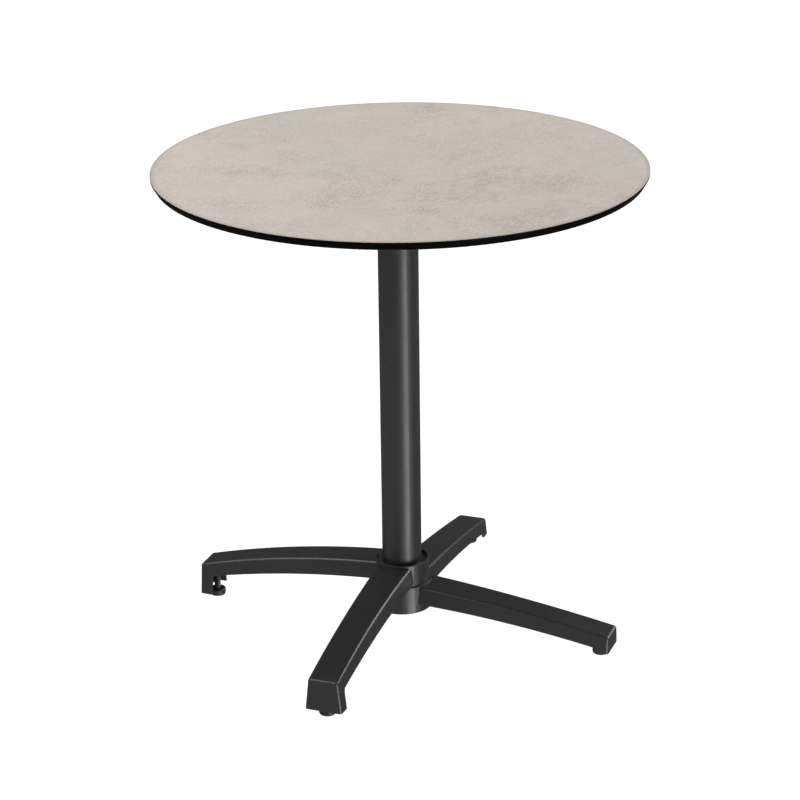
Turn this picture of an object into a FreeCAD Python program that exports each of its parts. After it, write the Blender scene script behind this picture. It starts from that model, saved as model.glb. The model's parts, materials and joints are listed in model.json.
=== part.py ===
import FreeCAD, Part

import math
import os

from FreeCAD import Vector

# A round bistro table: a compact-laminate top that tilts on a clamped pivot, a steel column and a
# nesting base made of two cast V-shaped arm pairs stacked on one another.
# Millimetres. +Z is up. The origin is on the floor, on the axis of the column. The tilt axis runs
# along X. The upper arm pair points to -Y and the lower arm pair points to +Y.

# Tabletop
TOP_Z = 730.0  # height of the table's surface
TOP_R = 360.0
TOP_THICK = 12.0
DECOR_THICK = 0.6
BACKING_THICK = 0.5
EDGE_LAND = 3.5  # upright part of the edge, above the undercut
UNDERCUT = 5.0  # how far the underside's rim stands in
DECOR_EASE = 0.25
UNDER_Z = TOP_Z - TOP_THICK
TOP_Y = 4.5  # the top's centre stands this far from the column's axis

# Tilt plate and its screws, under the top
PLATE_THICK = 4.0
PLATE_Z = UNDER_Z - PLATE_THICK
PLATE_HUB_R = 62.0
PLATE_BAR_W = 34.0
SCREW_XY = 96.0  # screws stand this far from the top's centre, in X and in Y
M6_R = 3.0
M6_HOLE_R = 3.3
INSERT_R = 4.5
INSERT_LEN = 9.0

# Tilt pivot
PIVOT_Y = -6.0
PIVOT_Z = PLATE_Z - 36.0
PIN_R = 5.0
RUNNING = 0.06  # radial clearance of a running fit
BUSH_R = 6.5
BUSH_LEN = 12.0
BUSH_FLANGE_R = 9.0
BUSH_FLANGE = 1.0
PIN_HEAD_R = 7.5
PIN_HEAD = 3.0
CLIP_R = 8.0
CLIP_THICK = 1.2
CLIP_MOUTH = 7.0  # width of the retaining ring's open side
HEAD_HALF = 20.0  # half width of the column head's block
SIDE_GAP = 0.3  # between parts that move past each other
LUG_IN = HEAD_HALF + BUSH_FLANGE + SIDE_GAP
LUG_THICK = 5.0
LUG_OUT = LUG_IN + LUG_THICK
LUG_ROUND = 16.0  # round the pivot
LUG_SECTOR = 38.0  # round the slot

# Clamp bolt, in a slot that is centred on the pivot
SLOT_RADIUS = 28.0
SLOT_HALF = 4.4
SLOT_START = 20.0  # degrees from +Y, where the bolt stands with the top level
TILT_RANGE = 90.0
M8_R = 4.0
CLAMP_WASHER = 1.6
CLAMP_WASHER_R = 9.0
BOLT_HEAD_R = 7.5
BOLT_HEAD = 4.0
BOLT_END_X = 44.0
BOLT_Y = PIVOT_Y + SLOT_RADIUS * math.cos(math.radians(SLOT_START))
BOLT_Z = PIVOT_Z + SLOT_RADIUS * math.sin(math.radians(SLOT_START))

# Clamp lever
LEVER_X = LUG_OUT + SIDE_GAP + CLAMP_WASHER + SIDE_GAP
LEVER_FLANGE = 2.0
LEVER_HUB_R = 10.5
LEVER_HUB = 16.0
LEVER_CORE_R = 7.0
LEVER_LEN = 46.0
LEVER_ROOT_R = 6.8
LEVER_TIP_R = 5.2
LEVER_KNOB_R = 6.2
LEVER_LEAN = 14.0  # degrees, away from the column
LEVER_CAP = 2.5

# Column
COLUMN_R = 30.0
COLUMN_WALL = 2.0
COLUMN_TOP = 626.0
FLANGE_R = 31.0
FLANGE = 5.0
SPIGOT_LEN = 34.0
SPIGOT_GAP = 0.1
HEAD_REST_Z = PLATE_Z - 3.0  # the flat that carries the rest pads
HEAD_REST_Y = (4.0, 27.0)
HEAD_LOW_Y = 23.0
HEAD_SHOULDER = (10.5, 8.0)  # from the clamp bolt's axis, in Y and Z
HEAD_EDGE = 1.2
REST_PAD_R = 5.0
REST_PAD_X = 11.0
REST_PAD_Y = 15.0
ROD_R = 5.0
ROD_LOW = 43.0
ROD_HIGH = COLUMN_TOP - 12.0
TIE_WASHER = 3.0
TIE_WASHER_R = 20.0
TIE_NUT = 8.0
TIE_NUT_ACROSS = 17.0

# Hub, where the two castings stack
UPPER_SEAT = 70.0  # the upper casting stands on the lower casting's web
UPPER_HUB_TOP = 112.4
UPPER_HUB_R = 41.2
UPPER_HUB_LOW_R = 42.2
TUBE_SEAT = 78.0  # the tube stands on the upper casting's web
RIM_R = 38.5
RIM_DEPTH = 4.0
LOWER_HUB_TOP = 78.0
LOWER_HUB_R = 45.8
LOWER_HUB_LOW = 34.5
LOWER_HUB_LOW_R = 46.4
SOCKET_R = 42.4
WEB_LOW = 60.0
HOLLOW_R = 38.0
RIM_ROUND = 1.0
ROD_HOLE_R = 5.5
DOWEL_R = 3.0
DOWEL_X = 20.0
DOWEL_LEN = 14.0

# Arms. Each casting has two, 90 degrees apart. Heights are read at three radii: at the arm's
# root, at its middle and at its outer end (for the wall's lower edge, at the skirt).
ROOT_R = 20.0
MIDDLE_R = 180.0
WALL = 4.0
TOP_WALL = 4.5
CORNER_ROUND = 4.5
SKIRT_LEN = 20.0
SKIRT_Z = 11.0
SKIRT_ROUND = 6.0
DRAFT = 0.11  # the walls lean out by this much of their height
HALF_ROOT = 26.2  # half width on the top edge, at WIDTH_R
WIDTH_R = 40.0
HALF_END = 23.1
MARGIN = 20.0  # by which a cutting solid passes what it cuts
RIB_HALF = 2.0
RIB_DEEP = 12.0
CHANNEL_ROOT = 48.0
UPPER = {"top": (109.8, 92.4, 59.2), "low": (82.5, 66.4, 41.8), "end": 329.5, "foot": 312.5,
         "thread": 38.0}
LOWER = {"top": (77.6, 61.5, 37.2), "low": (49.5, 38.0, 18.4), "end": 336.0, "foot": 317.5,
         "thread": 17.5}
ARMS = {"front_left": (UPPER, 225.0), "front_right": (UPPER, 315.0),
        "back_right": (LOWER, 45.0), "back_left": (LOWER, 135.0)}

# Levelling glides
PAD_R = 12.5
PAD_THICK = 11.0
PAD_ROUND = 3.0
PAD_CROWN = 1.5
STEM_R = 5.0
STEM_ROOT_R = 4.4
PITCH = 1.5
NECK_R = 4.0
NECK_LOW = 4.0
NECK_TOP = 12.5
BOSS_R = 12.0
THREAD_INSERT_R = 8.0
THREAD_LEN = 12.0


def polar(radius, degrees):
    return radius * math.cos(math.radians(degrees)), radius * math.sin(math.radians(degrees))


def cyl(radius, z_low, z_high, x=0.0, y=0.0):
    return Part.makeCylinder(radius, z_high - z_low, Vector(x, y, z_low))


def cyl_x(radius, x_low, x_high, y=PIVOT_Y, z=PIVOT_Z):
    return Part.makeCylinder(radius, x_high - x_low, Vector(x_low, y, z), Vector(1, 0, 0))


def turned(outline):
    """A solid of revolution about Z from (radius, z) points."""
    points = [Vector(r, 0, z) for r, z in outline]
    face = Part.Face(Part.makePolygon(points + points[:1]))
    return face.revolve(Vector(0, 0, 0), Vector(0, 0, 1), 360)


def hexagon(across_flats, z_low, z_high, x=0.0, y=0.0):
    radius = across_flats / math.sqrt(3)
    corners = []
    for k in range(7):
        dx, dy = polar(radius, 60.0 * k)
        corners.append(Vector(x + dx, y + dy, z_low))
    return Part.Face(Part.makePolygon(corners)).extrude(Vector(0, 0, z_high - z_low))


def arc(start, through, end):
    return Part.Arc(start, through, end).toShape()


def line(start, end):
    return Part.LineSegment(start, end).toShape()


def save(node, *solids):
    shape = solids[0] if len(solids) == 1 else Part.makeCompound(list(solids))
    shape.exportStep("parts/" + node + ".step")


# ---- tabletop ----

def screw_places():
    return [(x, TOP_Y + y) for x in (-SCREW_XY, SCREW_XY) for y in (-SCREW_XY, SCREW_XY)]


def drill(solid, radius, z_low, z_high):
    for x, y in screw_places():
        solid = solid.cut(cyl(radius, z_low, z_high, x, y))
    return solid


def tabletop():
    land_z = TOP_Z - EDGE_LAND
    core_low = UNDER_Z + BACKING_THICK
    low_r = TOP_R - UNDERCUT
    core_low_r = low_r + UNDERCUT * BACKING_THICK / (land_z - UNDER_Z)
    core_top = TOP_Z - DECOR_THICK
    core = turned([(0, core_low), (core_low_r, core_low), (TOP_R, land_z), (TOP_R, core_top), (0, core_top)])
    decor = turned([(0, core_top), (TOP_R, core_top), (TOP_R, TOP_Z - DECOR_EASE),
                    (TOP_R - DECOR_EASE, TOP_Z), (0, TOP_Z)])
    backing = Part.makeCone(low_r, core_low_r, BACKING_THICK, Vector(0, 0, UNDER_Z))
    for sheet in (core, decor, backing):
        sheet.translate(Vector(0, TOP_Y, 0))
    insert_top = UNDER_Z + INSERT_LEN
    save("tabletop_core", drill(core, INSERT_R, UNDER_Z, insert_top))
    save("decor_sheet", decor)
    save("backing_sheet", drill(backing, INSERT_R, UNDER_Z - 1, insert_top))


def top_fixings():
    washer = 1.6
    washer_r = 6.4
    head = 3.6
    head_r = 5.6
    socket, socket_deep = 4.0, 2.2
    head_z = PLATE_Z - washer
    inserts, screws, washers = [], [], []
    for x, y in screw_places():
        insert = cyl(INSERT_R, UNDER_Z, UNDER_Z + INSERT_LEN, x, y)
        inserts.append(insert.cut(cyl(M6_R, UNDER_Z - 1, UNDER_Z + INSERT_LEN + 1, x, y)))
        disc = cyl(washer_r, head_z, PLATE_Z, x, y)
        washers.append(disc.cut(cyl(M6_R, head_z - 1, PLATE_Z + 1, x, y)))
        pan = cyl(head_r, head_z - head, head_z, x, y)
        pan = pan.makeFillet(1.4, [pan.Edges[k] for k in range(3) if pan.Edges[k].BoundBox.ZMax < head_z - 1])
        screw = pan.fuse(cyl(M6_R, head_z, UNDER_Z + INSERT_LEN - 1, x, y))
        screws.append(screw.cut(hexagon(socket, head_z - head - 1, head_z - head + socket_deep, x, y)))
    save("top_inserts", *inserts)
    save("top_screws", *screws)
    save("top_washers", *washers)


# ---- tilt mechanism ----

def tilt_plate():
    reach = SCREW_XY * math.sqrt(2)
    plate = cyl(PLATE_HUB_R, PLATE_Z, UNDER_Z, 0, TOP_Y)
    for turn in (45, 135):
        bar = Part.makeBox(2 * reach, PLATE_BAR_W, PLATE_THICK, Vector(-reach, -PLATE_BAR_W / 2, PLATE_Z))
        bar.rotate(Vector(0, 0, 0), Vector(0, 0, 1), turn)
        bar.translate(Vector(0, TOP_Y, 0))
        plate = plate.fuse(bar)
    for x, y in screw_places():
        plate = plate.fuse(cyl(PLATE_BAR_W / 2, PLATE_Z, UNDER_Z, x, y))
    plate = plate.removeSplitter()
    save("tilt_plate", drill(plate, M6_HOLE_R, PLATE_Z - 1, UNDER_Z + 1))


def lug_outline(x):
    def at(radius, degrees):
        y, z = polar(radius, degrees)
        return Vector(x, PIVOT_Y + y, PIVOT_Z + z)

    left = PIVOT_Y - LUG_ROUND
    sector_top = at(LUG_SECTOR, 28)
    top_left = Vector(x, left, PLATE_Z)
    top_right = Vector(x, sector_top.y, PLATE_Z)
    edges = [
        line(top_left, at(LUG_ROUND, 180)),
        arc(at(LUG_ROUND, 180), at(LUG_ROUND, 214), at(LUG_ROUND, 248)),
        line(at(LUG_ROUND, 248), at(LUG_SECTOR, 263)),
        arc(at(LUG_SECTOR, 263), at(LUG_SECTOR, 325), sector_top),
        line(sector_top, top_right),
        line(top_right, top_left),
    ]
    return Part.Face(Part.Wire(edges))


def slot_cutter(x_low, x_high):
    """The curved slot: a quarter ring with round ends, right through the lug."""
    length = x_high - x_low
    first = SLOT_START - TILT_RANGE
    ring = cyl_x(SLOT_RADIUS + SLOT_HALF, x_low, x_high).cut(cyl_x(SLOT_RADIUS - SLOT_HALF, x_low, x_high))
    far = 2 * SLOT_RADIUS
    corners = [(0.0, 0.0)] + [polar(far, first + k * TILT_RANGE / 3) for k in range(4)] + [(0.0, 0.0)]
    wedge = Part.makePolygon([Vector(x_low, PIVOT_Y + y, PIVOT_Z + z) for y, z in corners])
    slot = ring.common(Part.Face(wedge).extrude(Vector(length, 0, 0)))
    for degrees in (first, SLOT_START):
        y, z = polar(SLOT_RADIUS, degrees)
        slot = slot.fuse(cyl_x(SLOT_HALF, x_low, x_high, PIVOT_Y + y, PIVOT_Z + z))
    return slot


def tilt_lug(side):
    x_low = LUG_IN if side > 0 else -LUG_OUT
    lug = lug_outline(x_low).extrude(Vector(LUG_THICK, 0, 0))
    lug = lug.cut(cyl_x(PIN_R, x_low - 1, x_low + LUG_THICK + 1))
    return lug.cut(slot_cutter(x_low - 1, x_low + LUG_THICK + 1))


def pivot():
    groove_low = -LUG_OUT - SIDE_GAP - CLIP_THICK
    groove_high = groove_low + CLIP_THICK
    head = cyl_x(PIN_HEAD_R, LUG_OUT, LUG_OUT + PIN_HEAD)
    head = head.makeFillet(0.8, [e for e in head.Edges if e.BoundBox.XMin > LUG_OUT + 1])
    pin = cyl_x(PIN_R, groove_low - 2.0, LUG_OUT).fuse(head)
    core = cyl_x(PIN_R - 1, groove_low, groove_high)
    mouth = Part.makeBox(CLIP_THICK, CLIP_MOUTH, 12.0,
                         Vector(groove_low, PIVOT_Y - CLIP_MOUTH / 2, PIVOT_Z - 12.0))
    save("pivot_pin", pin.cut(cyl_x(PIN_R + 1, groove_low, groove_high).cut(core)))
    save("pivot_clip", cyl_x(CLIP_R, groove_low, groove_high).cut(core).cut(mouth))
    bushes = []
    for side in (-1, 1):
        bush = cyl_x(BUSH_R, HEAD_HALF - BUSH_LEN, HEAD_HALF).fuse(
            cyl_x(BUSH_FLANGE_R, HEAD_HALF, HEAD_HALF + BUSH_FLANGE))
        bush = bush.cut(cyl_x(PIN_R + RUNNING, 0, HEAD_HALF + 5))
        if side < 0:
            bush = bush.mirror(Vector(0, 0, 0), Vector(1, 0, 0))
        bushes.append(bush)
    save("pivot_bushes", *bushes)


def column_head():
    def at(radius, degrees):
        y, z = polar(radius, degrees)
        return Vector(-HEAD_HALF, PIVOT_Y + y, PIVOT_Z + z)

    base_z = COLUMN_TOP + FLANGE
    low_left = Vector(-HEAD_HALF, PIVOT_Y - LUG_ROUND, base_z - 1)
    rest_left = Vector(-HEAD_HALF, HEAD_REST_Y[0], HEAD_REST_Z)
    rest_right = Vector(-HEAD_HALF, HEAD_REST_Y[1], HEAD_REST_Z)
    shoulder = Vector(-HEAD_HALF, BOLT_Y + HEAD_SHOULDER[0], BOLT_Z + HEAD_SHOULDER[1])
    low_right = Vector(-HEAD_HALF, HEAD_LOW_Y, base_z - 1)
    edges = [
        line(low_left, at(LUG_ROUND, 180)),
        arc(at(LUG_ROUND, 180), at(LUG_ROUND, 140), at(LUG_ROUND, 100)),
        line(at(LUG_ROUND, 100), rest_left),
        line(rest_left, rest_right),
        line(rest_right, shoulder),
        line(shoulder, low_right),
        line(low_right, low_left),
    ]
    block = Part.Face(Part.Wire(edges)).extrude(Vector(2 * HEAD_HALF, 0, 0))
    flange = turned([(0, COLUMN_TOP), (FLANGE_R, COLUMN_TOP), (FLANGE_R, base_z - HEAD_EDGE),
                     (FLANGE_R - HEAD_EDGE, base_z), (0, base_z)])
    spigot_r = COLUMN_R - COLUMN_WALL - SPIGOT_GAP
    spigot_low = COLUMN_TOP - SPIGOT_LEN
    spigot = turned([(0, spigot_low), (spigot_r - HEAD_EDGE, spigot_low), (spigot_r, spigot_low + HEAD_EDGE),
                     (spigot_r, COLUMN_TOP), (0, COLUMN_TOP)])
    head = block.fuse(flange).fuse(spigot).removeSplitter()
    head = head.cut(cyl_x(BUSH_R, -HEAD_HALF - 1, HEAD_HALF + 1))
    head = head.cut(cyl_x(M8_R, -HEAD_HALF - 1, HEAD_HALF + 1, BOLT_Y, BOLT_Z))
    save("column_head", head.cut(cyl(ROD_R, spigot_low - 1, ROD_HIGH)))
    pad_top = PLATE_Z - SIDE_GAP
    pads = [cyl(REST_PAD_R, HEAD_REST_Z, pad_top, x, REST_PAD_Y) for x in (-REST_PAD_X, REST_PAD_X)]
    save("rest_pads", *pads)


def clamp():
    washer_in = LUG_OUT + SIDE_GAP
    washer_out = washer_in + CLAMP_WASHER
    head = cyl_x(BOLT_HEAD_R, -washer_out - BOLT_HEAD, -washer_out, BOLT_Y, BOLT_Z)
    head = head.makeFillet(2.0, [e for e in head.Edges if e.BoundBox.XMax < -washer_out - 1])
    bolt = head.fuse(cyl_x(M8_R, -washer_out, BOLT_END_X, BOLT_Y, BOLT_Z))
    save("clamp_bolt", bolt)
    washers = []
    for x_low in (washer_in, -washer_out):
        disc = cyl_x(CLAMP_WASHER_R, x_low, x_low + CLAMP_WASHER, BOLT_Y, BOLT_Z)
        washers.append(disc.cut(cyl_x(M8_R, x_low - 1, x_low + CLAMP_WASHER + 1, BOLT_Y, BOLT_Z)))
    save("clamp_washers", *washers)


def clamp_lever():
    flange_end = LEVER_X + LEVER_FLANGE
    hub_end = flange_end + LEVER_HUB
    core = cyl_x(LEVER_HUB_R - 1.0, LEVER_X, flange_end, BOLT_Y, BOLT_Z)
    core = core.fuse(cyl_x(LEVER_CORE_R, flange_end, hub_end - 1, BOLT_Y, BOLT_Z))
    save("lever_nut", core.cut(cyl_x(M8_R + RUNNING, LEVER_X - 1, hub_end + 1, BOLT_Y, BOLT_Z)))
    hub = cyl_x(LEVER_HUB_R, flange_end, hub_end, BOLT_Y, BOLT_Z)
    hub = hub.makeFillet(2.0, [e for e in hub.Edges if e.BoundBox.XMin > hub_end - 1])
    lean = math.radians(LEVER_LEAN)
    along = Vector(math.sin(lean), 0, -math.cos(lean))
    start = Vector(flange_end + LEVER_HUB / 2, BOLT_Y, BOLT_Z)
    arm = Part.makeCone(LEVER_ROOT_R, LEVER_TIP_R, LEVER_LEN, start, along)
    tip = Part.makeSphere(LEVER_KNOB_R, start + along * LEVER_LEN)
    handle = hub.fuse(arm).fuse(tip).removeSplitter()
    handle = handle.cut(cyl_x(LEVER_CORE_R, flange_end - 1, hub_end + 1, BOLT_Y, BOLT_Z))
    save("lever_handle", handle)
    cap = cyl_x(LEVER_CORE_R, hub_end - 1, hub_end - 1 + LEVER_CAP, BOLT_Y, BOLT_Z)
    save("lever_cap", cap.makeFillet(0.8, [e for e in cap.Edges if e.BoundBox.XMin > hub_end]))


# ---- column ----

def column():
    save("column_tube", cyl(COLUMN_R, TUBE_SEAT, COLUMN_TOP).cut(
        cyl(COLUMN_R - COLUMN_WALL, TUBE_SEAT - 1, COLUMN_TOP + 1)))
    save("tie_rod", cyl(ROD_R, ROD_LOW, ROD_HIGH))
    washer_low = WEB_LOW - TIE_WASHER
    save("tie_washer", cyl(TIE_WASHER_R, washer_low, WEB_LOW).cut(cyl(ROD_R, washer_low - 1, WEB_LOW + 1)))
    nut = hexagon(TIE_NUT_ACROSS, washer_low - TIE_NUT, washer_low)
    save("tie_nut", nut.cut(cyl(ROD_R, washer_low - 9, washer_low + 1)))


# ---- base castings ----

def arm_heights(kind, edge, radii):
    return [Vector(r, 0, z) for r, z in zip(radii, kind[edge])]


def lowered(points, drop):
    return [p - Vector(0, 0, drop) for p in points]


def wedge(kind, inset):
    """The space between the arm's two leaning side walls, moved in by inset."""
    reference = kind["top"][0]
    end_drop = reference - kind["top"][2]
    z_low, z_high = -MARGIN, reference + MARGIN
    rings = []
    for r in (0.0, kind["end"] + MARGIN):
        share = (r - WIDTH_R) / (kind["end"] - WIDTH_R)
        half = HALF_ROOT + (HALF_END - DRAFT * end_drop - HALF_ROOT) * share - inset
        low = half + DRAFT * (reference - z_low)
        high = half + DRAFT * (reference - z_high)
        rings.append([Vector(r, -low, z_low), Vector(r, low, z_low),
                      Vector(r, high, z_high), Vector(r, -high, z_high)])
    root, end = rings
    sides = [[root[k - 1], root[k], end[k], end[k - 1]] for k in range(4)]
    faces = [Part.Face(Part.makePolygon(ring + ring[:1])) for ring in [root, end] + sides]
    solid = Part.Solid(Part.Shell(faces))
    return solid if solid.Volume > 0 else solid.reversed()


def across(edges, half=40.0):
    """A side outline in the arm's upright plane, made a solid across the arm."""
    face = Part.Face(Part.Wire(edges))
    face.translate(Vector(0, -half, 0))
    return face.extrude(Vector(0, 2 * half, 0))


def arm_outside(kind):
    end = kind["end"]
    skirt = end - SKIRT_LEN
    top = arm_heights(kind, "top", (ROOT_R, MIDDLE_R, end))
    low = arm_heights(kind, "low", (ROOT_R, MIDDLE_R, skirt))
    heel = Vector(end, 0, SKIRT_Z)
    toe = Vector(skirt, 0, SKIRT_Z)
    solid = across([arc(*top), line(top[2], heel), line(heel, toe), line(toe, low[2]),
                    arc(low[2], low[1], low[0]), line(low[0], top[0])])
    solid = solid.common(wedge(kind, 0.0))
    inner = [e for e in solid.Edges if abs(e.CenterOfMass.x - skirt) < 0.1
             and abs(e.CenterOfMass.z - low[2].z) < 0.1]
    solid = solid.makeFillet(min(SKIRT_ROUND, (low[2].z - SKIRT_Z) * 0.8), inner)
    corners = [e for e in solid.Edges if upper_edge(e, kind)]
    return solid.makeFillet(CORNER_ROUND, corners)


def upper_edge(edge, kind):
    """True on the two long top edges, the end's top edge and the end's two upright edges."""
    box = edge.BoundBox
    at_end = box.XMin > kind["end"] - 0.1
    upright = at_end and box.ZLength > 5
    end_top = at_end and box.ZMin > kind["top"][2] - 0.1
    long_top = box.XLength > 200 and abs(box.ZMax - kind["top"][0]) < 0.5
    return upright or end_top or long_top


def arm_channel(kind):
    inner_end = kind["end"] - WALL
    top = lowered(arm_heights(kind, "top", (ROOT_R, MIDDLE_R, kind["end"])), TOP_WALL)
    below = -5.0
    hollow = across([arc(*top), line(top[2], Vector(kind["end"], 0, below)),
                     line(Vector(kind["end"], 0, below), Vector(ROOT_R, 0, below)),
                     line(Vector(ROOT_R, 0, below), top[0])])
    hollow = hollow.common(wedge(kind, WALL))
    room = Part.makeBox(inner_end - CHANNEL_ROOT, 80, 140, Vector(CHANNEL_ROOT, -40, below))
    return hollow.common(room)


def arm_rib(kind):
    foot = kind["foot"]
    top = lowered(arm_heights(kind, "top", (ROOT_R, MIDDLE_R, kind["end"])), TOP_WALL - 1)
    low = lowered(top, RIB_DEEP)
    rib = across([arc(*top), line(top[2], low[2]), arc(low[2], low[1], low[0]), line(low[0], top[0])],
                 RIB_HALF)
    return rib.common(Part.makeBox(foot - ROOT_R, 10, 140, Vector(ROOT_R, -5, 0)))


def arm(kind, azimuth):
    foot = kind["foot"]
    outside = arm_outside(kind)
    boss = cyl(BOSS_R, kind["thread"], kind["top"][2] + 20, foot).common(outside)
    shape = outside.cut(arm_channel(kind)).fuse(arm_rib(kind)).fuse(boss)
    shape = shape.cut(cyl(THREAD_INSERT_R, kind["thread"] - 1, kind["thread"] + THREAD_LEN, foot))
    shape.rotate(Vector(0, 0, 0), Vector(0, 0, 1), azimuth)
    return shape


def dowel_places():
    return [(-DOWEL_X, 0.0), (DOWEL_X, 0.0)]


def upper_casting():
    top = UPPER_HUB_TOP
    hub = turned([(0, UPPER_SEAT), (UPPER_HUB_LOW_R, UPPER_SEAT), (UPPER_HUB_LOW_R, LOWER_HUB_TOP),
                  (UPPER_HUB_R, top - RIM_ROUND), (UPPER_HUB_R - RIM_ROUND * 0.3, top - RIM_ROUND * 0.3),
                  (UPPER_HUB_R - RIM_ROUND, top), (0, top)])
    shape = hub.fuse([arm(kind, azimuth) for kind, azimuth in ARMS.values() if kind is UPPER])
    shape = shape.cut(cyl(RIM_R, top - RIM_DEPTH, top + 20))
    shape = shape.cut(cyl(COLUMN_R + SPIGOT_GAP, TUBE_SEAT, top))
    shape = shape.cut(cyl(ROD_HOLE_R, UPPER_SEAT - 1, TUBE_SEAT + 1))
    for x, y in dowel_places():
        shape = shape.cut(cyl(DOWEL_R, UPPER_SEAT - 1, UPPER_SEAT + DOWEL_LEN / 2, x, y))
    save("upper_arm_casting", shape.removeSplitter())


def lower_casting():
    top = LOWER_HUB_TOP
    hub = turned([(0, LOWER_HUB_LOW), (LOWER_HUB_LOW_R - RIM_ROUND, LOWER_HUB_LOW),
                  (LOWER_HUB_LOW_R, LOWER_HUB_LOW + RIM_ROUND),
                  (LOWER_HUB_R, top - RIM_ROUND), (LOWER_HUB_R - RIM_ROUND * 0.3, top - RIM_ROUND * 0.3),
                  (LOWER_HUB_R - RIM_ROUND, top), (0, top)])
    shape = hub.fuse([arm(kind, azimuth) for kind, azimuth in ARMS.values() if kind is LOWER])
    shape = shape.cut(cyl(SOCKET_R, UPPER_SEAT, top + 20))
    shape = shape.cut(cyl(HOLLOW_R, LOWER_HUB_LOW - 1, WEB_LOW))
    shape = shape.cut(cyl(ROD_HOLE_R, WEB_LOW - 1, UPPER_SEAT + 1))
    for x, y in dowel_places():
        shape = shape.cut(cyl(DOWEL_R, UPPER_SEAT - DOWEL_LEN / 2, UPPER_SEAT + 1, x, y))
    save("lower_arm_casting", shape.removeSplitter())


def hub_dowels():
    half = DOWEL_LEN / 2 - 0.2
    save("hub_dowels", *[cyl(DOWEL_R, UPPER_SEAT - half, UPPER_SEAT + half, x, y) for x, y in dowel_places()])


# ---- levelling glides ----

def threaded_stem(z_top):
    """A stem with thread crests, turned as rings, on a plain neck that sits in the pad."""
    outline = [(0, NECK_LOW), (NECK_R, NECK_LOW), (NECK_R, NECK_TOP)]
    z = NECK_TOP
    while z + PITCH < z_top:
        outline += [(STEM_ROOT_R, z), (STEM_R, z + PITCH * 0.4), (STEM_R, z + PITCH * 0.6)]
        z += PITCH
    outline += [(STEM_ROOT_R, z), (0, z)]
    return turned(outline)


def glides():
    inserts = []
    for name, (kind, azimuth) in ARMS.items():
        x, y = polar(kind["foot"], azimuth)
        thread_low = kind["thread"]
        thread_top = thread_low + THREAD_LEN
        insert = cyl(THREAD_INSERT_R, thread_low, thread_top, x, y)
        inserts.append(insert.cut(cyl(STEM_R + RUNNING, thread_low - 1, thread_top + 1, x, y)))
        pad = turned([(0, 0), (PAD_R - PAD_ROUND, 0), (PAD_R - PAD_ROUND * 0.3, PAD_ROUND * 0.3),
                      (PAD_R, PAD_ROUND), (PAD_R, PAD_THICK - PAD_CROWN), (PAD_R - PAD_CROWN, PAD_THICK),
                      (0, PAD_THICK)])
        pad = pad.cut(cyl(NECK_R + RUNNING, NECK_LOW - SIDE_GAP, PAD_THICK + 1))
        pad.translate(Vector(x, y, 0))
        save("glide_pad_" + name, pad)
        stem = threaded_stem(thread_top - 0.5)
        stem.translate(Vector(x, y, 0))
        save("glide_stem_" + name, stem)
    save("thread_inserts", *inserts)


def main():
    os.makedirs("parts", exist_ok=True)
    tabletop()
    top_fixings()
    tilt_plate()
    save("tilt_lug_left", tilt_lug(-1))
    save("tilt_lug_right", tilt_lug(1))
    pivot()
    column_head()
    clamp()
    clamp_lever()
    column()
    upper_casting()
    lower_casting()
    hub_dowels()
    glides()


main()
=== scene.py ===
import json
import math

import bmesh
import bpy
from mathutils import Matrix, Vector


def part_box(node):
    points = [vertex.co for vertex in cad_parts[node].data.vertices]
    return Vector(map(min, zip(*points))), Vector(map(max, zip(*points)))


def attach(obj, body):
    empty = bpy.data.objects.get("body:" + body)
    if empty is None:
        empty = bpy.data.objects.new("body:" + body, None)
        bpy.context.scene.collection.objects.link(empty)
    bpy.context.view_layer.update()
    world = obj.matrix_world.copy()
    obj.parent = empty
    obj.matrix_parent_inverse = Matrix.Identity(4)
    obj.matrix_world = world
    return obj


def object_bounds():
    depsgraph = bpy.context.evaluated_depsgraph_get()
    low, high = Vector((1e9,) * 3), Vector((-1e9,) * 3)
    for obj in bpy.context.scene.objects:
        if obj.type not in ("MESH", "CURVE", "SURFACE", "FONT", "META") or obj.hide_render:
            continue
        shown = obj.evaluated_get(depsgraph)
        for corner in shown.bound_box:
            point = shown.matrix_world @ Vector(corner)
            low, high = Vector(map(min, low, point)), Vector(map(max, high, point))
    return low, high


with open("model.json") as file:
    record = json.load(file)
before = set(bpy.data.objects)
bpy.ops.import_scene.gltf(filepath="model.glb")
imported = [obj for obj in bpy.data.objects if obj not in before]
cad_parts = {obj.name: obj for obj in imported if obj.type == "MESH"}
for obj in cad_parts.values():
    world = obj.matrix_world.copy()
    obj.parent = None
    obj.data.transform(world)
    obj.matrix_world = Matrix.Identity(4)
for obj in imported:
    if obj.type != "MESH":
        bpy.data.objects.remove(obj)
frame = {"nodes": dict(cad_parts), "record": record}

CAD_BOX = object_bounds()

# ---- camera ----
VIEW_AZIMUTH = 65.58  # degrees from -Y towards +X
VIEW_DISTANCE = 3.5526  # metres, level, from the column's axis
VIEW_HEIGHT = 1.7576
VIEW_PITCH = 21.36
VIEW_ROLL = -0.74
LENS = 114.9
SENSOR = 36.0


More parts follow.
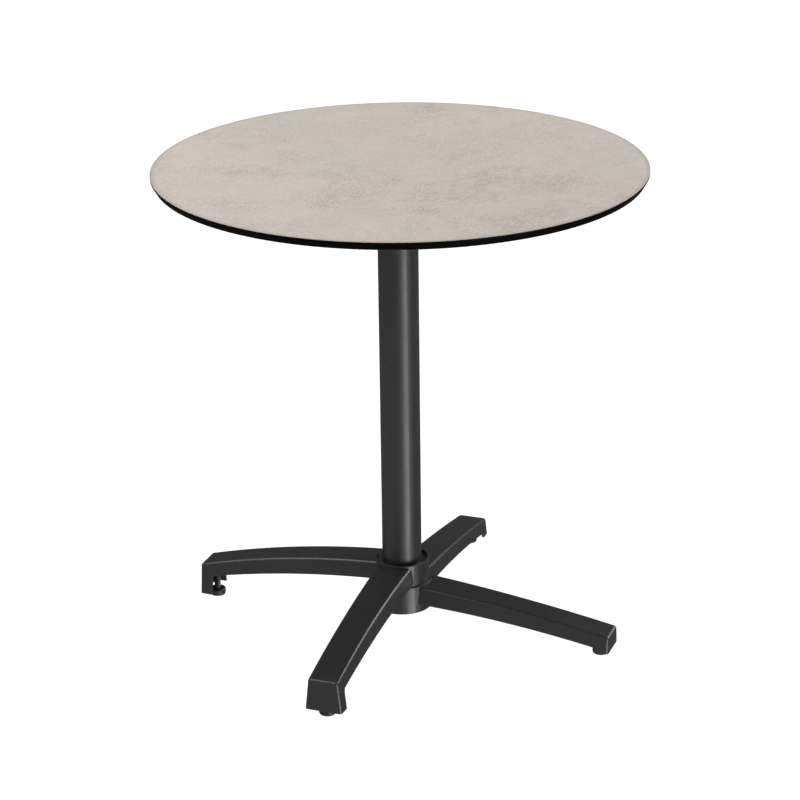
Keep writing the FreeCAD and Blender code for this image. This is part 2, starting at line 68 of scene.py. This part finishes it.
def make_camera():
    azimuth, pitch, roll = (math.radians(a) for a in (VIEW_AZIMUTH, VIEW_PITCH, VIEW_ROLL))
    outward = Vector((math.sin(azimuth), -math.cos(azimuth), 0))
    right = Vector((math.cos(azimuth), math.sin(azimuth), 0))
    forward = -outward * math.cos(pitch) - Vector((0, 0, 1)) * math.sin(pitch)
    up = right.cross(forward)
    rolled_right = right * math.cos(roll) + up * math.sin(roll)
    rolled_up = up * math.cos(roll) - right * math.sin(roll)
    data = bpy.data.cameras.new("camera")
    data.lens = LENS
    data.sensor_width = SENSOR
    camera = bpy.data.objects.new("camera", data)
    turn = Matrix((rolled_right, rolled_up, -forward)).transposed().to_4x4()
    place = outward * VIEW_DISTANCE + Vector((0, 0, VIEW_HEIGHT))
    camera.matrix_world = Matrix.Translation(place) @ turn
    bpy.context.scene.collection.objects.link(camera)
    bpy.context.scene.camera = camera
    return outward, right


# ---- light ----
# name, degrees to the right of the camera, distance, height, width, tallness, watts, height aimed at
LIGHTS = (
    ("overhead", 180, 0.9, 3.6, 3.4, 3.4, 15, 0.7),
    ("strip", 37, 2.4, -0.6, 0.7, 2.0, 64, 0.35),
    ("rim", 115, 2.6, 1.45, 1.3, 1.2, 75, 0.35),
    ("left_top", -75, 2.4, 2.9, 2.8, 2.2, 122, 0.1),
)
WORLD_DARK = 0.17
WORLD_BRIGHT = 0.57
WORLD_BRIGHT_TURN = -47  # degrees to the right of the camera
WORLD_BRIGHT_REACH = (0.79, -0.61)  # level and upward parts of that direction
WORLD_SPREAD = (0.1, 0.85)  # agreement with that direction where the brightening starts and ends


def area_light(name, place, width, height, power, aim):
    data = bpy.data.lights.new(name, "AREA")
    data.shape = "RECTANGLE"
    data.size = width
    data.size_y = height
    data.energy = power
    light = bpy.data.objects.new(name, data)
    light.location = place
    light.rotation_euler = (aim - place).to_track_quat("-Z", "Y").to_euler()
    light.visible_camera = False
    bpy.context.scene.collection.objects.link(light)


def around(outward, right, degrees, distance, height):
    """A place seen that many degrees to the right of the camera, from the column."""
    turn = math.radians(degrees)
    level = outward * math.cos(turn) + right * math.sin(turn)
    return level * distance + Vector((0, 0, height))


def make_world(outward, right):
    """Grey all round, brighter on the side that lies low and to the left of the camera."""
    world = bpy.data.worlds.new("studio")
    bpy.context.scene.world = world
    world.use_nodes = True
    tree = world.node_tree
    direction = tree.nodes.new("ShaderNodeTexCoord").outputs["Generated"]
    toward = tree.nodes.new("ShaderNodeVectorMath")
    toward.operation = "DOT_PRODUCT"
    tree.links.new(direction, toward.inputs[0])
    toward.inputs[1].default_value = around(outward, right, WORLD_BRIGHT_TURN, *WORLD_BRIGHT_REACH)
    grade = tree.nodes.new("ShaderNodeMapRange")
    tree.links.new(toward.outputs["Value"], grade.inputs["Value"])
    grade.inputs["From Min"].default_value, grade.inputs["From Max"].default_value = WORLD_SPREAD
    grade.inputs["To Min"].default_value = WORLD_DARK
    grade.inputs["To Max"].default_value = WORLD_BRIGHT
    tree.links.new(grade.outputs[0], tree.nodes["Background"].inputs["Color"])


def studio(outward, right):
    make_world(outward, right)
    for name, degrees, distance, height, width, tall, watts, aim_height in LIGHTS:
        place = around(outward, right, degrees, distance, height)
        area_light(name, place, width, tall, watts, Vector((0, 0, aim_height)))


# ---- material graphs ----
class Graph:
    """A material's nodes, with short calls that add a node and return its output."""

    def __init__(self, name, roughness=0.5, metallic=0.0, specular=0.5):
        self.material = bpy.data.materials.new(name)
        self.material.use_nodes = True
        self.tree = self.material.node_tree
        self.tree.nodes.clear()
        self.shader = self.tree.nodes.new("ShaderNodeBsdfPrincipled")
        output = self.tree.nodes.new("ShaderNodeOutputMaterial")
        self.tree.links.new(self.shader.outputs[0], output.inputs["Surface"])
        self.shader.inputs["Roughness"].default_value = roughness
        self.shader.inputs["Metallic"].default_value = metallic
        self.shader.inputs["Specular IOR Level"].default_value = specular
        self.place = self.tree.nodes.new("ShaderNodeTexCoord").outputs["Object"]

    def feed(self, socket, value):
        if isinstance(value, bpy.types.NodeSocket):
            self.tree.links.new(value, socket)
        elif isinstance(value, tuple) and len(value) == 3 and socket.type == "RGBA":
            socket.default_value = value + (1.0,)
        else:
            socket.default_value = value

    def set(self, name, value):
        self.feed(self.shader.inputs[name], value)

    def mapped(self, stretch=(1, 1, 1), shift=(0, 0, 0)):
        node = self.tree.nodes.new("ShaderNodeMapping")
        self.feed(node.inputs["Vector"], self.place)
        node.inputs["Scale"].default_value = stretch
        node.inputs["Location"].default_value = shift
        return node.outputs[0]

    def noise(self, scale, detail=3.0, rough=0.55, twist=0.0, stretch=(1, 1, 1), shift=(0, 0, 0)):
        node = self.tree.nodes.new("ShaderNodeTexNoise")
        self.feed(node.inputs["Vector"], self.mapped(stretch, shift))
        node.inputs["Scale"].default_value = scale
        node.inputs["Detail"].default_value = detail
        node.inputs["Roughness"].default_value = rough
        node.inputs["Distortion"].default_value = twist
        return node.outputs[0]

    def cells(self, scale, shift=(0, 0, 0)):
        node = self.tree.nodes.new("ShaderNodeTexVoronoi")
        self.feed(node.inputs["Vector"], self.mapped(shift=shift))
        node.inputs["Scale"].default_value = scale
        return node.outputs["Distance"]

    def span(self, value, low, high, out_low=0.0, out_high=1.0):
        """value from low..high moved to out_low..out_high, smooth at both ends."""
        node = self.tree.nodes.new("ShaderNodeMapRange")
        node.interpolation_type = "SMOOTHSTEP"
        for name, item in (("Value", value), ("From Min", low), ("From Max", high),
                           ("To Min", out_low), ("To Max", out_high)):
            self.feed(node.inputs[name], item)
        return node.outputs[0]

    def reach(self):
        """0 on the upright line through the middle of the piece, 1 at the edge of a round piece."""
        centred = self.tree.nodes.new("ShaderNodeMapping")
        generated = self.tree.nodes.new("ShaderNodeTexCoord").outputs["Generated"]
        self.feed(centred.inputs["Vector"], generated)
        centred.inputs["Location"].default_value = (-1, -1, 0)
        centred.inputs["Scale"].default_value = (2, 2, 0)
        length = self.tree.nodes.new("ShaderNodeVectorMath")
        length.operation = "LENGTH"
        self.feed(length.inputs[0], centred.outputs[0])
        return length.outputs["Value"]

    def facing_up(self):
        """1 where the surface faces up, 0 on upright faces."""
        normal = self.tree.nodes.new("ShaderNodeTexCoord").outputs["Normal"]
        node = self.tree.nodes.new("ShaderNodeSeparateXYZ")
        self.feed(node.inputs[0], normal)
        return node.outputs["Z"]

    def edges(self, width):
        """1 along sharp or narrow edges, out to about width metres from them, 0 on open faces."""
        softened = self.tree.nodes.new("ShaderNodeBevel")
        softened.samples = 6
        softened.inputs["Radius"].default_value = width
        agree = self.tree.nodes.new("ShaderNodeVectorMath")
        agree.operation = "DOT_PRODUCT"
        self.feed(agree.inputs[0], softened.outputs[0])
        self.feed(agree.inputs[1], self.tree.nodes.new("ShaderNodeNewGeometry").outputs["Normal"])
        return self.span(agree.outputs["Value"], 0.998, 0.93)

    def math(self, kind, first, second):
        node = self.tree.nodes.new("ShaderNodeMath")
        node.operation = kind
        self.feed(node.inputs[0], first)
        self.feed(node.inputs[1], second)
        return node.outputs[0]

    def times(self, first, second):
        return self.math("MULTIPLY", first, second)

    def plus(self, first, second):
        return self.math("ADD", first, second)

    def mix(self, share, first, second):
        node = self.tree.nodes.new("ShaderNodeMix")
        node.data_type = "RGBA"
        self.feed(node.inputs["Factor"], share)
        self.feed(node.inputs[6], first)
        self.feed(node.inputs[7], second)
        return node.outputs[2]

    def bump(self, height, depth, strength):
        """Relief of depth metres. Each call adds to the one before."""
        node = self.tree.nodes.new("ShaderNodeBump")
        node.inputs["Distance"].default_value = depth
        node.inputs["Strength"].default_value = strength
        self.feed(node.inputs["Height"], height)
        before = self.shader.inputs["Normal"]
        if before.is_linked:
            self.feed(node.inputs["Normal"], before.links[0].from_socket)
        self.feed(before, node.outputs[0])


# ---- finishes ----
def decor():
    """Matt laminate printed as cast concrete: clouds, worn patches with stipple, and fine grain."""
    g = Graph("concrete_decor", specular=0.30)
    beige, rose, green = (0.503, 0.454, 0.403), (0.523, 0.464, 0.415), (0.497, 0.461, 0.407)
    brown, chalk, paper = (0.240, 0.215, 0.190), (0.66, 0.63, 0.57), (0.065, 0.055, 0.045)
    clouds = g.span(g.noise(5.0, 4.0, 0.6, 0.5, shift=(1.3, 0.2, 0)), 0.42, 0.60)
    colour = g.mix(clouds, beige, rose)
    pale = g.span(g.noise(7.0, 5.0, 0.62, 0.7, shift=(4.1, 2.6, 0)), 0.49, 0.62)
    colour = g.mix(pale, colour, green)
    stipple = g.span(g.noise(310.0, 3.0, 0.65), 0.40, 0.60)
    smears = g.span(g.noise(42.0, 6.0, 0.70, 0.8), 0.44, 0.66)
    worn = g.span(g.noise(6.0, 6.0, 0.66, 1.0, shift=(7.7, 5.4, 0)), 0.43, 0.66)
    broken = g.plus(g.times(stipple, 0.45), g.times(smears, 0.55))
    patches = g.times(worn, broken)
    colour = g.mix(g.times(patches, 0.52), colour, brown)
    density = g.span(g.noise(15.0, 4.0, 0.6, shift=(2, 9, 0)), 0.3, 0.7, 0.10, 0.32)
    grain = g.times(stipple, density)
    colour = g.mix(grain, colour, brown)
    bloom = g.span(g.noise(75.0, 5.0, 0.72, shift=(2.0, 4.0, 0)), 0.50, 0.74)
    colour = g.mix(g.times(bloom, 0.22), colour, chalk)
    specks = g.span(g.cells(300.0, shift=(0.5, 0.3, 0)), 0.30, 0.14)
    specks = g.times(specks, g.span(g.noise(17.0, 3.0, shift=(3, 8, 0)), 0.47, 0.60))
    colour = g.mix(g.times(specks, 0.52), colour, chalk)
    # Painted shade: the decor turns towards brown over the last few millimetres to the rim, standing in
    # for the shade at the rim.
    rim_painted_shade = g.plus(g.reach(), g.times(g.noise(45.0, 5.0, 0.7, 0.6), 0.012))
    colour = g.mix(g.span(rim_painted_shade, 0.980, 1.008, 0.0, 0.40), colour, brown)
    side = g.span(g.facing_up(), 0.85, 0.30)
    g.set("Base Color", g.mix(side, colour, paper))
    dull = g.plus(patches, g.times(grain, 2.0))
    g.set("Roughness", g.span(dull, 0.0, 1.2, 0.50, 0.70))
    g.bump(stipple, 0.00010, 0.30)
    g.bump(g.noise(70.0, 3.0, 0.5), 0.0004, 0.12)
    return g.material


def phenolic_core():
    """Cut edge of the black core: pressed sheets as faint level lines, and fine milling marks."""
    g = Graph("phenolic_core", specular=0.02)
    sheets = g.noise(40.0, 3.0, 0.5, stretch=(0.1, 0.1, 60.0))
    marks = g.noise(240.0, 2.0, 0.5, stretch=(1, 1, 0.08))
    shade = g.span(g.plus(sheets, g.times(marks, 0.4)), 0.4, 1.0)
    g.set("Base Color", g.mix(shade, (0.0004, 0.0004, 0.0004), (0.0014, 0.0013, 0.0012)))
    g.set("Roughness", g.span(marks, 0.3, 0.7, 0.42, 0.58))
    g.bump(sheets, 0.00008, 0.4)
    g.bump(marks, 0.00006, 0.3)
    return g.material


def backing():
    """Black backing laminate: a fine sanded grain, a slow change of gloss, and faint handling scuffs."""
    g = Graph("backing_laminate", specular=0.35)
    cloud = g.noise(7.0, 4.0, 0.6, 0.4)
    sanded = g.noise(230.0, 3.0, 0.6, stretch=(0.12, 1, 1))
    scuff = g.span(g.noise(19.0, 6.0, 0.72, 1.4), 0.56, 0.72)
    shade = g.plus(g.times(cloud, 0.6), g.times(sanded, 0.4))
    colour = g.mix(g.span(shade, 0.35, 0.65), (0.010, 0.010, 0.0095), (0.021, 0.0205, 0.0195))
    g.set("Base Color", g.mix(g.times(scuff, 0.5), colour, (0.045, 0.043, 0.040)))
    dull = g.plus(cloud, g.times(scuff, 0.4))
    g.set("Roughness", g.span(dull, 0.3, 1.0, 0.44, 0.62))
    g.bump(sanded, 0.00008, 0.35)
    g.bump(g.noise(640.0, 2.0, 0.5), 0.00005, 0.3)
    return g.material


def powder_coat(name, dark, light, grain, depth, rough):
    """Satin black powder coat: fine orange peel, a slow drift of gloss, rubbed patches, and edges
    lightened partly as wear and partly as a painted highlight.
    """
    g = Graph(name, specular=0.45)
    drift = g.noise(9.0, 4.0, 0.6, 0.3)
    fine = g.noise(grain, 3.0, 0.6)
    rubbed = g.span(g.noise(26.0, 6.0, 0.72, 1.2), 0.58, 0.72)
    colour = g.mix(g.times(drift, g.span(fine, 0.25, 0.75)), dark, light)
    colour = g.mix(g.times(rubbed, 0.35), colour, tuple(2.0 * c for c in light))
    # Edges lighter in broken patches: partly wear, partly a painted highlight along the edges.
    worn = g.times(g.edges(0.003), g.span(g.noise(48.0, 5.0, 0.66, 0.5), 0.36, 0.60))
    g.set("Base Color", g.mix(g.times(worn, 0.6), colour, tuple(3.5 * c for c in light)))
    gloss = g.plus(drift, g.times(fine, 0.5))
    gloss = g.math("SUBTRACT", gloss, g.times(rubbed, 0.3))
    g.set("Roughness", g.span(gloss, 0.35, 1.05, rough - 0.06, rough + 0.06))
    g.bump(fine, depth, 0.35)
    g.bump(g.noise(grain * 0.23, 2.0, 0.5), depth * 2.5, 0.2)
    return g.material


def plated_steel(name, dark, light, rough):
    """Zinc plate or oiled steel: crystalline mottle and fine turning scratches."""
    g = Graph(name, metallic=1.0)
    mottle = g.noise(190.0, 4.0, 0.6, 0.8)
    scratch = g.noise(60.0, 3.0, 0.6, stretch=(6, 6, 40))
    share = g.span(g.plus(mottle, g.times(scratch, 0.3)), 0.45, 0.95)
    g.set("Base Color", g.mix(share, dark, light))
    g.set("Roughness", g.span(mottle, 0.3, 0.7, rough, rough + 0.18))
    g.bump(scratch, 0.00004, 0.35)
    return g.material


def brass():
    g = Graph("brass", metallic=1.0)
    tarnish = g.noise(150.0, 4.0, 0.6, 0.4)
    g.set("Base Color", g.mix(g.span(tarnish, 0.35, 0.7), (0.62, 0.43, 0.17), (0.80, 0.62, 0.32)))
    g.set("Roughness", g.span(tarnish, 0.3, 0.7, 0.42, 0.26))
    g.bump(g.noise(500.0, 2.0, stretch=(1, 1, 8)), 0.00003, 0.4)
    return g.material


def moulded(name, dark, light, rough, grain=700.0):
    """Moulded plastic or rubber: spark-eroded grain, slight cloud of colour, scuffs in the gloss."""
    g = Graph(name, specular=0.4)
    grains = g.noise(grain, 3.0, 0.6)
    cloud = g.noise(28.0, 3.0, 0.55, 0.4)
    scuff = g.span(g.noise(70.0, 4.0, 0.7, 1.2, stretch=(1, 4, 1)), 0.55, 0.72)
    g.set("Base Color", g.mix(g.times(g.plus(cloud, scuff), 0.5), dark, light))
    dull = g.plus(grains, g.times(scuff, 0.4))
    g.set("Roughness", g.span(dull, 0.3, 1.0, rough, rough + 0.2))
    g.bump(grains, 0.00012, 0.4)
    return g.material


FLOOR_GLOW = 1.0
FLOOR_HALF = 400.0
FLOOR_DROP = 0.0002  # keeps the floor clear of the discs' undersides


def floor_material():
    g = Graph("pale_floor", roughness=0.9, specular=0.0)
    cloud = g.noise(1.4, 3.0, 0.5)
    g.set("Base Color", g.mix(cloud, (0.13, 0.13, 0.13), (0.15, 0.15, 0.15)))
    g.set("Emission Color", (1.0, 1.0, 1.0))
    g.set("Emission Strength", FLOOR_GLOW)
    return g.material


def grey(level):
    return (level, level, level)


FINISHES = {
    "decor": decor(),
    "phenolic_core": phenolic_core(),
    "coated_tube": powder_coat("tube_coat", grey(0.007), grey(0.012), 900.0, 0.00008, 0.44),
    "cast_alloy": powder_coat("casting_coat", (0.006, 0.006, 0.0062), grey(0.010), 620.0, 0.00012, 0.42),
    "coated_steel": powder_coat("plate_coat", grey(0.007), grey(0.012), 800.0, 0.0001, 0.45),
    "zinc_steel": plated_steel("zinc_steel", (0.42, 0.43, 0.45), (0.66, 0.67, 0.69), 0.30),
    "spring_steel": plated_steel("spring_steel", (0.10, 0.10, 0.11), (0.22, 0.22, 0.23), 0.32),
    "stem_steel": plated_steel("stem_steel", (0.060, 0.060, 0.058), (0.13, 0.13, 0.125), 0.44),
    "brass": brass(),
    "white_nylon": moulded("white_nylon", (0.66, 0.64, 0.58), (0.78, 0.76, 0.71), 0.42),
    "black_nylon": moulded("black_nylon", grey(0.010), grey(0.022), 0.38),
    "glide_plastic": moulded("glide_plastic", grey(0.003), grey(0.008), 0.50),
    "black_rubber": moulded("black_rubber", grey(0.012), grey(0.026), 0.65, 450.0),
}


def dress(node, finish):
    mesh = frame["nodes"][node].data
    mesh.materials.clear()
    mesh.materials.append(finish)


# ---- welds between the lugs and the tilt plate ----
BEAD_SIZE = 0.0032
BEAD_PITCH = 0.0026  # from ripple to ripple
BEAD_SECTION = 7  # points across the bead
STEPS_PER_RIPPLE = 6
RIPPLE_DEPTH = 0.16  # share of the bead's size
BEAD_END_SIZE = 0.25  # share of the bead's size at its two ends
BEAD_TAPER = 14  # how fast the bead grows from its ends
BEAD_HOLLOW = 0.20  # how much flatter the bead is half way across
FOOT_BAND = 1e-5  # points this close under the plate belong to the lug's foot


def bead_size(share, ripples):
    """Size of the bead at a share of its length: rippled, and tapered at both ends."""
    ripple = 1 - RIPPLE_DEPTH * abs(math.sin(math.pi * share * ripples))
    start = BEAD_TAPER * share + BEAD_END_SIZE
    end = BEAD_TAPER * (1 - share) + BEAD_END_SIZE
    return BEAD_SIZE * ripple * min(1.0, start, end)


def weld(node):
    """A rippled fillet weld along the foot of a lug's outer face, under the plate."""
    low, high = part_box(node)
    foot = [v.co.y for v in frame["nodes"][node].data.vertices if v.co.z > high.z - FOOT_BAND]
    side = 1 if low.x > 0 else -1
    face_x = high.x if side > 0 else low.x
    start, end = min(foot) + BEAD_SIZE, max(foot) - BEAD_SIZE
    ripples = (end - start) / BEAD_PITCH
    steps = int(ripples * STEPS_PER_RIPPLE)
    verts, faces = [], []
    for k in range(steps + 1):
        share = k / steps
        size = bead_size(share, ripples)
        y = start + share * (end - start)
        for m in range(BEAD_SECTION):
            turn = math.pi / 2 * m / (BEAD_SECTION - 1)
            reach = size * (1 - BEAD_HOLLOW + BEAD_HOLLOW * abs(math.cos(2 * turn)))
            verts.append((face_x + side * reach * math.cos(turn), y, high.z - reach * math.sin(turn)))
        verts.append((face_x, y, high.z))
    ring = BEAD_SECTION + 1
    for k in range(steps):
        for m in range(ring):
            n = (m + 1) % ring
            faces.append((k * ring + m, k * ring + n, (k + 1) * ring + n, (k + 1) * ring + m))
    faces += [tuple(range(ring)), tuple(steps * ring + m for m in range(ring))]
    mesh = bpy.data.meshes.new("weld_" + node)
    mesh.from_pydata(verts, [], faces)
    shape = bmesh.new()
    shape.from_mesh(mesh)
    bmesh.ops.recalc_face_normals(shape, faces=shape.faces)
    shape.to_mesh(mesh)
    shape.free()
    mesh.materials.append(FINISHES["coated_steel"])
    bead = bpy.data.objects.new("weld_" + node, mesh)
    bpy.context.scene.collection.objects.link(bead)
    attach(bead, "tilting_top")


def make_floor():
    """A white floor that the object doesn't mirror and the low strip shines through."""
    low = CAD_BOX[0].z - FLOOR_DROP
    mesh = bpy.data.meshes.new("floor")
    corners = [(-1, -1), (1, -1), (1, 1), (-1, 1)]
    verts = [(FLOOR_HALF * x, FLOOR_HALF * y, low) for x, y in corners]
    mesh.from_pydata(verts, [], [(0, 1, 2, 3)])
    mesh.materials.append(floor_material())
    floor = bpy.data.objects.new("floor", mesh)
    bpy.context.scene.collection.objects.link(floor)
    floor.visible_glossy = False
    floor.visible_shadow = False


outward, right = make_camera()
studio(outward, right)
make_floor()
for part in frame["record"]["subparts"]:
    dress(part["node"], FINISHES[part["material_slot"]])
dress("backing_sheet", backing())
for lug in ("tilt_lug_left", "tilt_lug_right"):
    weld(lug)
bpy.context.scene.view_settings.view_transform = "Standard"
